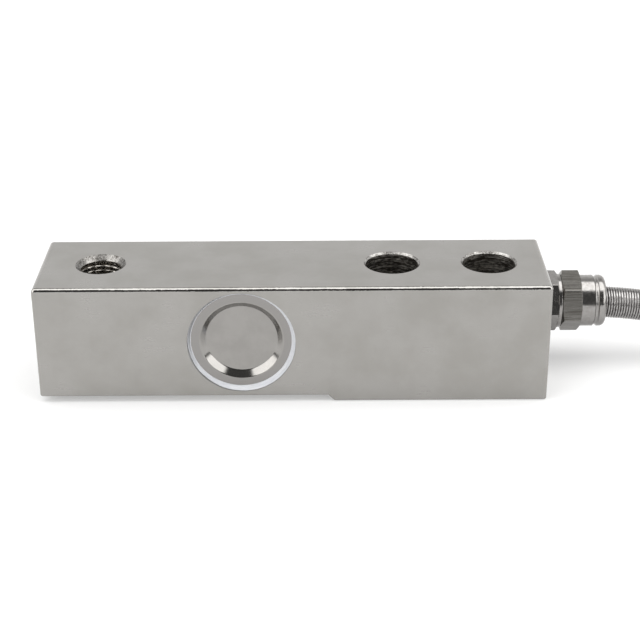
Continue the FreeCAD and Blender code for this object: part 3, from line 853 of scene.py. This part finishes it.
@dataclass
class GaugePocket:
    """One sealed pocket: pressed cover and the ring of poured sealant round it."""

    side: Side
    centre_x: float = -51.0 * MM
    centre_z: float = 16.7 * MM
    face: float = 15.9 * MM
    cover_radius: float = 12.875 * MM
    wall_radius: float = 13.75 * MM
    seat_depth: float = 2.0 * MM
    rim_depth: float = 1.3 * MM
    high_depth: float = 0.15 * MM
    low_depth: float = 1.75 * MM
    rim_at: float = 1.5 * MM
    mouth_radius: float = 10.7 * MM
    floor_radius: float = 8.85 * MM
    dish: float = 1.4 * MM
    corner_share: float = 0.15
    sheet: float = 0.5 * MM
    floor_ring: float = 0.9
    rim_starts: float = 0.3 * MM
    wall_steps: int = 18
    steps: int = 144
    clearance: float = 0.05 * MM
    lap: float = 0.25 * MM
    least_lap: float = 0.2
    wave_scale: float = 2.1
    uneven: float = 0.15
    fullest: float = -50.0
    cover: CoverSheet = CoverSheet("pressed_cover")
    compound: Compound = Compound("poured_sealant")

    def build(self) -> None:
        """Press the cover and pour the sealant."""
        name = self.side.name.lower()
        mouth = Vector((self.centre_x, self.side.value * self.face, self.centre_z))
        inwards = Vector((0, -self.side.value, 0))
        cover = turned(f"{name}_pressed_cover", self.cover_profile(), mouth, inwards, ALONG_BEAM, self.steps,
                       self.cover)
        ride(cover, "cover_sheet", (f"{name}_cover",))
        mesh = bmesh.new()
        rows: list[list[BMVert]] = [[] for _ in self.section(0.0)]
        for turn in angles(self.steps):
            for row, (radius, depth) in zip(rows, self.section(turn)):
                across = self.side.value * (self.face - depth)
                row.append(mesh.verts.new((self.centre_x + radius * math.cos(turn), across,
                                           self.centre_z + radius * math.sin(turn))))
        grid_faces(mesh, rows + rows[:1])
        bmesh.ops.recalc_face_normals(mesh, faces=mesh.faces)
        piece = mesh_piece(f"{name}_sealant_ring", mesh, (self.compound,))
        keep_corners(piece)
        ride(piece, "sealant", (f"{name}_sealant",))

    def cover_profile(self) -> list[tuple[float, float]]:
        """Half section of the pressed cover.

        Returns:
            Points as (radius, depth below the beam's face): the front from the middle out, then the back.
        """
        floor = self.rim_at + self.dish
        front = [(0.0, floor), (self.floor_radius * self.floor_ring, floor)]
        for step in range(self.wall_steps + 1):
            share = step / self.wall_steps
            radius = self.floor_radius + (self.mouth_radius - self.floor_radius) * share
            front.append((radius, self.rim_at + self.dish * (1 - self.rise(share))))
        front += [(self.mouth_radius + self.rim_starts, self.rim_at), (self.cover_radius, self.rim_at)]
        back = [(radius, depth + self.sheet) for radius, depth in front]
        return front + back[::-1]

    def rise(self, share: float) -> float:
        """Height of the pressed wall, from 0 to 1, straight with a rounded foot and a rounded top."""
        slope = 1 / (1 - self.corner_share)
        if share < self.corner_share:
            return slope * share * share / (2 * self.corner_share)
        if share > 1 - self.corner_share:
            return 1 - slope * (1 - share) ** 2 / (2 * self.corner_share)
        return slope * (share - self.corner_share / 2)

    def section(self, turn: float) -> list[tuple[float, float]]:
        """Section of the sealant at one angle, as radius and depth below the beam's face.

        Args:
            turn: Angle round the pocket, in radians, from the cable end upwards.

        Returns:
            The section's corners, from the seat's inner corner round to the cover's rim.
        """
        spot = Vector((math.cos(turn) * self.wave_scale, math.sin(turn) * self.wave_scale, self.side.value))
        wobble = noise.noise(spot) * self.uneven
        fill = 0.5 + 0.5 * math.cos(turn - math.radians(self.fullest)) + wobble
        high = self.low_depth + (self.high_depth - self.low_depth) * min(max(fill, 0.0), 1.0)
        inner = self.cover_radius + self.clearance
        outer = self.wall_radius - self.clearance
        lap = inner - self.lap * min(max(fill, self.least_lap), 1.0)
        return [
            (inner, self.seat_depth),
            (outer, self.seat_depth),
            (outer, high),
            (outer - 0.12 * MM, high + 0.10 * MM),
            ((inner + outer) / 2, (high + self.rim_depth) / 2 + 0.1 * MM),
            (inner + 0.1 * MM, self.rim_depth + 0.02 * MM),
            (lap, self.rim_depth + 0.16 * MM),
            (inner, self.rim_depth + 0.5 * MM),
        ]


@dataclass
class Gland:
    """Cable gland: seal ring, hexagon body, grommet, slip washer and cap nut."""

    metal: TurnedMetal = TurnedMetal("gland_plating")
    nut: DrawnHexagon = DrawnHexagon("nut_plating")
    rubber: Moulded = Moulded("nitrile", srgb(40, 40, 41), srgb(28, 28, 29), 0.6)
    washer: TurnedMetal = TurnedMetal("turned_washer", srgb(190, 170, 120), srgb(160, 140, 95))
    body_flats: float = 14.0 * MM
    nut_flats: float = 14.3 * MM
    axis_y: float = 9.0 * MM
    axis_z: float = 16.7 * MM
    edge_break: float = 0.2 * MM
    collar_start: float = 31.7 * MM
    collar_length: float = 1.1 * MM
    collar_radius: float = 7.15 * MM
    collar_crown: float = 0.2 * MM
    collar_bore: float = 6.72 * MM
    collar_steps: int = 14
    collar_faces: int = 96
    cone_end: float = 33.25 * MM
    cone_foot: float = 6.7 * MM
    cone_slope: float = 0.4
    cone_slack: float = 0.05 * MM
    collar_lap: float = 0.1 * MM
    smooth_angle: float = 32.0
    turned_slant: float = 0.06
    upright: float = 0.01
    lengthwise: float = 0.99
    hexagon_corner: tuple[float, float] = (0.7, 1.4)

    def build(self) -> None:
        """Dress the gland's pieces, and take the sharpness off the hexagons' edges."""
        self.break_edges("gland_body", "hexagon_body", self.metal, self.body_flats)
        self.break_edges("gland_cap_nut", "hexagon_nut", self.nut, self.nut_flats)
        self.turn_collar()
        dress("gland_seal_ring", self.rubber)
        dress("gland_grommet", self.rubber)
        dress("gland_slip_washer", self.washer)

    def turn_collar(self) -> None:
        """Turn the nut's rounded collar, which stands in front of its hexagon."""
        half = self.collar_length / 2
        across = Vector((0, 1, 0))
        section = [(self.collar_bore, 0.0)]
        for step in range(self.collar_steps + 1):
            turn = math.pi * step / self.collar_steps
            fall = self.collar_crown * (1 - math.sin(turn)) ** 2
            section.append((self.collar_radius - fall, half * (1 - math.cos(turn))))
        section.append((self.collar_bore, self.collar_length))
        start = Vector((self.collar_start, self.axis_y, self.axis_z))
        ring = turned("nut_collar", section, start, ALONG_BEAM, across, self.collar_faces, self.metal)
        ride(ring, "gland_metal")

    def break_edges(self, node: str, name: str, finish: Finish, across_flats: float) -> None:
        """Stand a copy of a hexagonal piece, with its long edges slightly rounded, for its frame node.

        Args:
            node: The frame node.
            name: The name of the copy.
            finish: The copy's finish.
            across_flats: Size of the hexagon.
        """
        mesh = frame_mesh(node)
        if node == "gland_cap_nut":
            self.set_back(mesh)
        mesh.normal_update()
        edges = [edge for edge in mesh.edges if self.is_long_edge(edge)]
        bmesh.ops.bevel(mesh, geom=edges, offset=self.edge_break, segments=2, profile=0.5, affect="EDGES")
        mesh.normal_update()
        flats = {face for face in mesh.faces if self.is_flat(face, across_flats / 2)}
        normals = [self.corner_normal(face, loop.vert, flats) for face in mesh.faces for loop in face.loops]
        ride(mesh_piece(name, mesh, (finish,), normals), "gland_metal", (node,))

    def set_back(self, mesh: BMesh) -> None:
        """Make the cone of the nut's hexagon steeper, so that it starts behind the collar."""
        behind = self.collar_start + self.collar_length
        for vert in mesh.verts:
            reach = self.spoke(vert.co).length
            if vert.co.x < self.cone_end and reach > self.cone_foot - self.cone_slack:
                vert.co.x = behind - self.collar_lap + (reach - self.cone_foot) * self.cone_slope

    def spoke(self, point: Vector) -> Vector:
        """Offset of a point from the gland's axis."""
        return Vector((0.0, point.y - self.axis_y, point.z - self.axis_z))

    def is_flat(self, face: BMFace, apothem: float) -> bool:
        """Whether a face lies in one of the hexagon's flats."""
        reach = face.normal.dot(self.spoke(face.calc_center_median()))
        return abs(face.normal.x) < self.upright and abs(reach - apothem) < TOLERANCE

    def corner_normal(self, face: BMFace, vert: BMVert,
                      flats: set[BMFace]) -> Vector:
        """Shading normal of a face's corner: flat on the hexagon, round on what is turned.

        Args:
            face: The face.
            vert: The corner's vertex.
            flats: The faces of the hexagon's flats.

        Returns:
            The normal.
        """
        mean, flat = shading_normal(face, vert, self.smooth_angle, lambda other: other in flats)
        if flat:
            return mean
        middle = self.spoke(face.calc_center_median()).normalized()
        tangent = ALONG_BEAM.cross(middle)
        spoke = self.spoke(vert.co)
        if spoke.length < TOLERANCE or abs(face.normal.dot(tangent)) > self.turned_slant:
            return mean
        radial = spoke.normalized() * math.sqrt(max(0.0, 1.0 - mean.x ** 2))
        if face.normal.dot(middle) < 0:
            radial.negate()
        return Vector((mean.x, radial.y, radial.z))

    def is_long_edge(self, edge: BMEdge) -> bool:
        """Whether two flats of a hexagon meet in the edge."""
        if len(edge.link_faces) != 2:
            return False
        along = (edge.verts[0].co - edge.verts[1].co).normalized()
        least, most = self.hexagon_corner
        return abs(along.x) > self.lengthwise and least < edge.calc_face_angle() < most


@dataclass
class Cable:
    """Sheathed cable: out of the gland, down to the surface, a tied hank and a stripped end on top of it."""

    diameter: float = 6.0 * MM
    length: float = 3.0
    end_face: float = 27.0 * MM
    gland_y: float = 9.0 * MM
    gland_z: float = 16.7 * MM
    start: float = -2.0 * MM
    leaves_nut: float = 17.6 * MM
    after_gland: tuple[Triple, ...] = ((18.0, 0.0, 0.0), (38.0, -0.1, -3.0), (56.0, -0.9, -7.9))
    hank_offset: tuple[float, float] = (126.2 * MM, 2.8 * MM)
    straight: float = 105.0 * MM
    columns: int = 2
    layers: int = 4
    turn_radius: float = 21.0 * MM
    entry_angle: float = -110.0
    stub: float = 26.0 * MM
    run_in: float = 20.0 * MM
    climb: tuple[Triple, ...] = ((14.0, 0.0, 27.05), (28.0, 0.0, 27.05))
    tail: tuple[Triple, ...] = ((37.0, 0.0, 27.05), (49.0, -0.6, 27.05), (58.0, -0.4, 27.05))
    points_per_bend: int = 9
    points_per_run: int = 4
    step_over: float = 85.0
    bevel_steps: int = 5
    sheath: Moulded = Moulded("cable_sheath_skin", srgb(92, 93, 95), srgb(80, 81, 83), 0.42, 900.0, 0.02 * MM)

    def gland_point(self, along: float, across: float = 0.0, up: float = 0.0) -> Vector:
        """Point at a distance past the beam's end face, offset from the gland's axis."""
        return Vector((self.end_face + along, self.gland_y + across, self.gland_z + up))

    def centre(self) -> Vector:
        """Middle of the hank's near half turns, on the surface that the part stands on."""
        return Vector((self.end_face + self.hank_offset[0], self.gland_y + self.hank_offset[1], 0.0))

    def bend_point(self, radius: float, angle: float, height: float, along: float = 0.0) -> Vector:
        """Point of a half turn at an angle in degrees, with the half turn's middle moved along the hank."""
        turn = math.radians(angle)
        return self.centre() + Vector((along + radius * math.cos(turn), radius * math.sin(turn), height))

    def heading(self, angle: float) -> Vector:
        """Direction of the cable at an angle of the near half turn, anticlockwise seen from above."""
        turn = math.radians(angle)
        return Vector((-math.sin(turn), math.cos(turn), 0.0))

    def outer(self) -> float:
        """Radius of the outermost turns."""
        return self.turn_radius + self.diameter * (self.columns - 1) / 2

    def slot_of_turn(self, index: int) -> tuple[float, float]:
        """Radius and height of one turn of the hank, wound inwards and outwards by turns.

        Args:
            index: Number of the turn, from 0 at the bottom outer one.

        Returns:
            The turn's radius and height.
        """
        layer, place = divmod(index, self.columns)
        column = place if layer % 2 == 0 else self.columns - 1 - place
        return self.outer() - column * self.diameter, (layer + 0.5) * self.diameter

    def turn(self, index: int) -> list[Vector]:
        """Points of one turn: front run, far half turn, rear run, and near half turn with the step over."""
        radius, height = self.slot_of_turn(index)
        last = index + 1 == self.columns * self.layers
        after, above = (self.turn_radius, self.climb[0][2] * MM) if last else self.slot_of_turn(index + 1)
        points = []
        for step in range(self.points_per_run):
            place = self.straight * (step + 0.5) / self.points_per_run
            points.append(self.bend_point(radius, -90.0, height, place))
        for step in range(self.points_per_bend + 1):
            angle = 180 * step / self.points_per_bend
            points.append(self.bend_point(radius, -90 + angle, height, self.straight))
        for step in range(self.points_per_run):
            place = self.straight * (1 - (step + 0.5) / self.points_per_run)
            points.append(self.bend_point(radius, 90.0, height, place))
        for step in range(self.points_per_bend + 1):
            angle = 180 * step / self.points_per_bend
            share = min(max((angle - 180 + self.step_over) / self.step_over, 0.0), 1.0)
            ease = share * share * (3 - 2 * share)
            points.append(self.bend_point(radius + (after - radius) * ease, 90 + angle,
                                          height + (above - height) * ease))
        return points

    def route(self) -> list[Vector]:
        """All points of the cable, from inside the gland to its stripped end."""
        entry = self.bend_point(self.outer(), self.entry_angle, self.diameter / 2)
        stub_in = entry - self.heading(self.entry_angle) * self.stub
        before = stub_in - self.heading(self.entry_angle) * self.run_in
        places = [self.gland_point(self.start)]
        places += [self.gland_point(*(value * MM for value in place)) for place in self.after_gland]
        places += [before, stub_in, entry]
        for index in range(self.columns * self.layers):
            places += self.turn(index)
        on_top = self.centre() - Vector((0.0, self.turn_radius, 0.0))
        places += [on_top + Vector(place) * MM for place in self.climb + self.tail]
        return places

    def build(self) -> tuple[Object, Track]:
        """Lay the cable.

        Returns:
            The cable and the points that it follows.
        """
        line = smooth_line("sheathed_cable", self.route())
        track = Track(line)
        line.data.bevel_depth = self.diameter / 2
        line.data.bevel_resolution = self.bevel_steps
        line.data.use_fill_caps = True
        line.data.materials.append(self.sheath.material())
        ride(line, "cable_sheath", ("cable_jacket", "cable_coil", "cable_tail"))
        return line, track

    def declare(self) -> None:
        """Work out the point where the cable leaves the nut; nothing further is done with it.
        """
        leaves = tuple(self.gland_point(self.leaves_nut))


@dataclass
class SpringSleeve:
    """Close-wound spring over the cable at the gland, with a wide end turn held by the nut."""

    outer: float = 4.2 * MM
    wire: float = 0.65 * MM
    pitch: float = 0.69 * MM
    end_turn: float = 5.1 * MM
    closes_over: float = 2.6 * math.pi
    begins: float = 11.0 * MM
    ends: float = 62.6 * MM
    cable_start: float = -2.0 * MM
    steps_per_turn: int = 26
    wire_steps: int = 8
    metal: TurnedMetal = TurnedMetal("drawn_wire", srgb(162, 160, 159), srgb(132, 130, 129), 0.2)

    def build(self, track: Track) -> Object:
        """Wind the spring along the cable.

        Args:
            track: The cable's line.

        Returns:
            The spring.
        """
        first = self.begins - self.cable_start + self.wire / 2
        last = self.ends - self.cable_start - self.wire / 2
        turns = (last - first) / self.pitch
        count = round(turns * self.steps_per_turn)
        centres = []
        for index in range(count + 1):
            distance = first + (last - first) * index / count
            centres.append(self.wire_centre(track, distance, math.tau * index / self.steps_per_turn))
        mesh = bmesh.new()
        rows = []
        for index, (centre, spoke) in enumerate(centres):
            ahead = centres[min(index + 1, count)][0] - centres[max(index - 1, 0)][0]
            side = ahead.cross(spoke).normalized()
            around = [spoke * math.cos(turn) + side * math.sin(turn) for turn in angles(self.wire_steps)]
            rows.append([mesh.verts.new(centre + out * self.wire / 2) for out in around])
        grid_faces(mesh, rows)
        mesh.faces.new(rows[0])
        mesh.faces.new(rows[-1])
        bmesh.ops.recalc_face_normals(mesh, faces=mesh.faces)
        piece = mesh_piece("spring_sleeve", mesh, (self.metal,))
        ride(piece, "spring_wire", ("strain_relief_spring",))
        return piece

    def wire_centre(self, track: Track, distance: float, turn: float) -> tuple[Vector, Vector]:
        """Middle of the wire at one place.

        Args:
            track: The cable's line.
            distance: Distance along the cable.
            turn: Angle round the cable, in radians.

        Returns:
            The wire's middle and the direction outwards from the cable.
        """
        point, heading = track.at(distance)
        across = Vector((0, 0, 1)).cross(heading).normalized()
        up = heading.cross(across)
        spoke = across * math.cos(turn) + up * math.sin(turn)
        body = self.outer - self.wire / 2
        widened = max(0.0, 1.0 - turn / self.closes_over)
        return point + spoke * (body + (self.end_turn - self.wire / 2 - body) * min(1.0, 2 * widened)), spoke


@dataclass
class StrippedEnd:
    """The cable's free end: four insulated leads with tinned tips and the twisted shield."""

    covered: float = 37.0 * MM
    shield: TurnedMetal = TurnedMetal("twisted_shield", srgb(186, 180, 170), srgb(140, 130, 118), 0.3,
                                      line_depth=0.05 * MM)
    roughness: float = 0.38
    skin_scale: float = 2200.0
    skin_depth: float = 0.008 * MM

    def build(self, cable: Cable) -> list[str]:
        """Dress the leads.

        Args:
            cable: The cable that they come out of.

        Returns:
            The names of the frame nodes.
        """
        before, end = cable.route()[-2:]
        heading = tuple((end - before).normalized())
        colours = {
            "red": (srgb(176, 36, 30), srgb(150, 28, 24)),
            "black": (srgb(38, 38, 40), srgb(26, 26, 28)),
            "green": (srgb(40, 130, 66), srgb(30, 106, 52)),
            "white": (srgb(226, 225, 220), srgb(206, 204, 198)),
        }
        for name, (colour, shade) in colours.items():
            skin = (colour, shade, self.roughness, self.skin_scale, self.skin_depth)
            dress(f"conductor_{name}", Moulded(f"core_{name}", *skin))
            dress(f"lead_{name}", StrippedWire(f"stripped_{name}", *skin, start=tuple(end), heading=heading,
                                               covered=self.covered))
        dress("shield_pigtail", self.shield)
        return [f"lead_{name}" for name in colours] + ["shield_pigtail"]


@dataclass
class SealedParts:
    """Gauges, boards and wires inside the sealed pockets, and the tie round the hank."""

    film: Moulded = Moulded("gauge_film_amber", srgb(206, 142, 52), srgb(188, 122, 40), 0.3)
    foil: TurnedMetal = TurnedMetal("etched_foil", srgb(178, 156, 132), srgb(150, 130, 108), 0.28)
    lacquer: Moulded = Moulded("board_lacquer", srgb(40, 112, 72), srgb(30, 92, 58), 0.35)
    copper: TurnedMetal = TurnedMetal("tinned_pad", srgb(214, 160, 120), srgb(184, 128, 92), 0.25)
    solder: TurnedMetal = TurnedMetal("soft_solder", srgb(200, 201, 203), srgb(170, 171, 173), 0.24)
    chip: Moulded = Moulded("chip_body", srgb(40, 40, 44), srgb(28, 28, 32), 0.4)
    enamel: TurnedMetal = TurnedMetal("enamelled_copper", srgb(186, 112, 62), srgb(156, 88, 46), 0.24)
    sleeve: Moulded = Moulded("white_sleeve", srgb(224, 221, 212), srgb(204, 200, 190), 0.34)
    nylon: Moulded = Moulded("tie_nylon_black", srgb(44, 44, 45), srgb(32, 32, 33), 0.36)

    def build(self) -> None:
        """Dress the frame's small pieces."""
        for side in Side:
            name = side.name.lower()
            dress(f"{name}_gauge_carrier", self.film)
            dress(f"{name}_gauge_foil", self.foil)
            dress(f"{name}_gauge_leads", self.enamel)
        for node in ("front_terminal_strip", "rear_wiring_board"):
            dress(node, self.lacquer)
        for node in ("front_terminal_pads", "rear_board_pads"):
            dress(node, self.copper)
        dress("rear_solder_joints", self.solder)
        dress("rear_trim_resistors", self.chip)
        dress("bridge_wires", self.sleeve)
        dress("coil_tie", self.nylon)


@dataclass(frozen=True)
class PaleTable(Finish):
    """Pale table that glows a little, so that it comes out as white as the photo's ground."""

    colour: Colour = (0.5, 0.5, 0.5)
    shade: float = 0.985
    cloud_scale: float = 3.0
    roughness: float = 0.9
    glow: float = 0.34

    def paint(self, sheet: Sheet) -> None:
        """Fill the sheet with a faint cloud and the glow."""
        cloud = sheet.grain(sheet.place(), self.cloud_scale)
        tone = sheet.mix(cloud, self.colour, tuple(value * self.shade for value in self.colour))
        sheet.surface(Base_Color=tone, Roughness=self.roughness, Emission_Color=(1.0, 1.0, 1.0),
                      Emission_Strength=self.glow)


@dataclass
class Studio:
    """Pale floor, soft light and the camera."""

    camera_place: Triple = (-31.1, -356.85, 184.99)
    look_down: float = 25.404
    roll: float = -0.319
    focal_pixels: float = 1506.3
    floor_size: float = 6.0
    floor_drop: float = 0.02 * MM
    table: PaleTable = PaleTable("pale_table")
    sky_band: tuple[float, float] = (0.35, 0.95)
    sky_low: float = 1.1
    sky_high: float = 0.4
    lamp_span: tuple[float, float] = (66.0, 113.0)
    lamp_ends: tuple[float, float] = (0.8, 0.9)
    lamp_level: float = 2.95
    front_span: tuple[float, float] = (112.0, 183.0)
    gap_middle: float = 0.065
    gap_edge: tuple[float, float] = (0.38, 0.5)
    panel_foot: tuple[float, float] = (0.04, 0.14)
    panel_level: float = 2.75
    gap_level: float = 0.09
    soft: float = 2.0
    air: Colour = (1.0, 0.998, 0.993)

    def build(self) -> None:
        """Set the camera, the floor and the light."""
        self.camera()
        self.floor()
        self.sky()
        bpy.context.scene.view_settings.view_transform = "Standard"

    def camera(self) -> None:
        """Stand the camera where the photograph was taken from."""
        tilt = math.radians(self.look_down)
        roll = math.radians(self.roll)
        ahead = Vector((0, math.cos(tilt), -math.sin(tilt)))
        upright = ALONG_BEAM.cross(ahead)
        right = ALONG_BEAM * math.cos(roll) + upright * math.sin(roll)
        up = upright * math.cos(roll) - ALONG_BEAM * math.sin(roll)
        data = bpy.data.cameras.new("camera")
        data.sensor_width = SENSOR_WIDTH
        data.lens = self.focal_pixels * SENSOR_WIDTH / IMAGE_SIZE
        data.clip_start = 0.01
        camera = linked("camera", data)
        axes = Matrix((right, up, -ahead)).transposed().to_4x4()
        camera.matrix_world = Matrix.Translation(Vector(self.camera_place) * MM) @ axes
        bpy.context.scene.camera = camera

    def floor(self) -> None:
        """Lay the floor just under the part."""
        mesh = bmesh.new()
        bmesh.ops.create_grid(mesh, x_segments=2, y_segments=2, size=self.floor_size / 2)
        floor = mesh_piece("floor", mesh, (self.table,))
        floor.location = (0, 0, -self.floor_drop)

    def sky(self) -> None:
        """Light the part: pale room, broad lamp overhead, and two panels beside a dark gap in front."""
        world = bpy.data.worlds.new("studio")
        bpy.context.scene.world = world
        world.use_nodes = True
        sheet = Sheet(world.node_tree)
        aim = sheet.node("ShaderNodeTexCoord", {}, {}, "Generated")
        x, y, z = sheet.parts(aim)
        slope = z.angle_over(y) * (180 / math.pi)
        room = z.step(*self.sky_band, self.sky_low, self.sky_high)
        lamp = slope.between(*self.lamp_span, self.soft) * abs(x).step(*self.lamp_ends, 1.0, 0.0)
        front = slope.between(*self.front_span, self.soft)
        panels = abs(x - self.gap_middle).step(*self.gap_edge) * z.step(*self.panel_foot)
        level = room * (1 - front) + front * (panels * (self.panel_level - self.gap_level) + self.gap_level)
        level = level * (1 - lamp) + lamp * self.lamp_level
        background = sheet.node("ShaderNodeBackground", {}, {"Color": self.air, "Strength": level})
        sheet.node_out("ShaderNodeOutputWorld", background)


def main() -> None:
    """Build the sub-assemblies in order."""
    logging.basicConfig(level=logging.INFO, format="%(name)s: %(message)s")
    Studio().build()
    cable = Cable()
    line, track = cable.build()
    Beam().build()
    for side in Side:
        GaugePocket(side).build()
    Gland().build()
    spring = SpringSleeve().build(track)
    SealedParts().build()
    ends = StrippedEnd().build(cable)
    cable.declare()


if __name__ == "__main__":
    main()
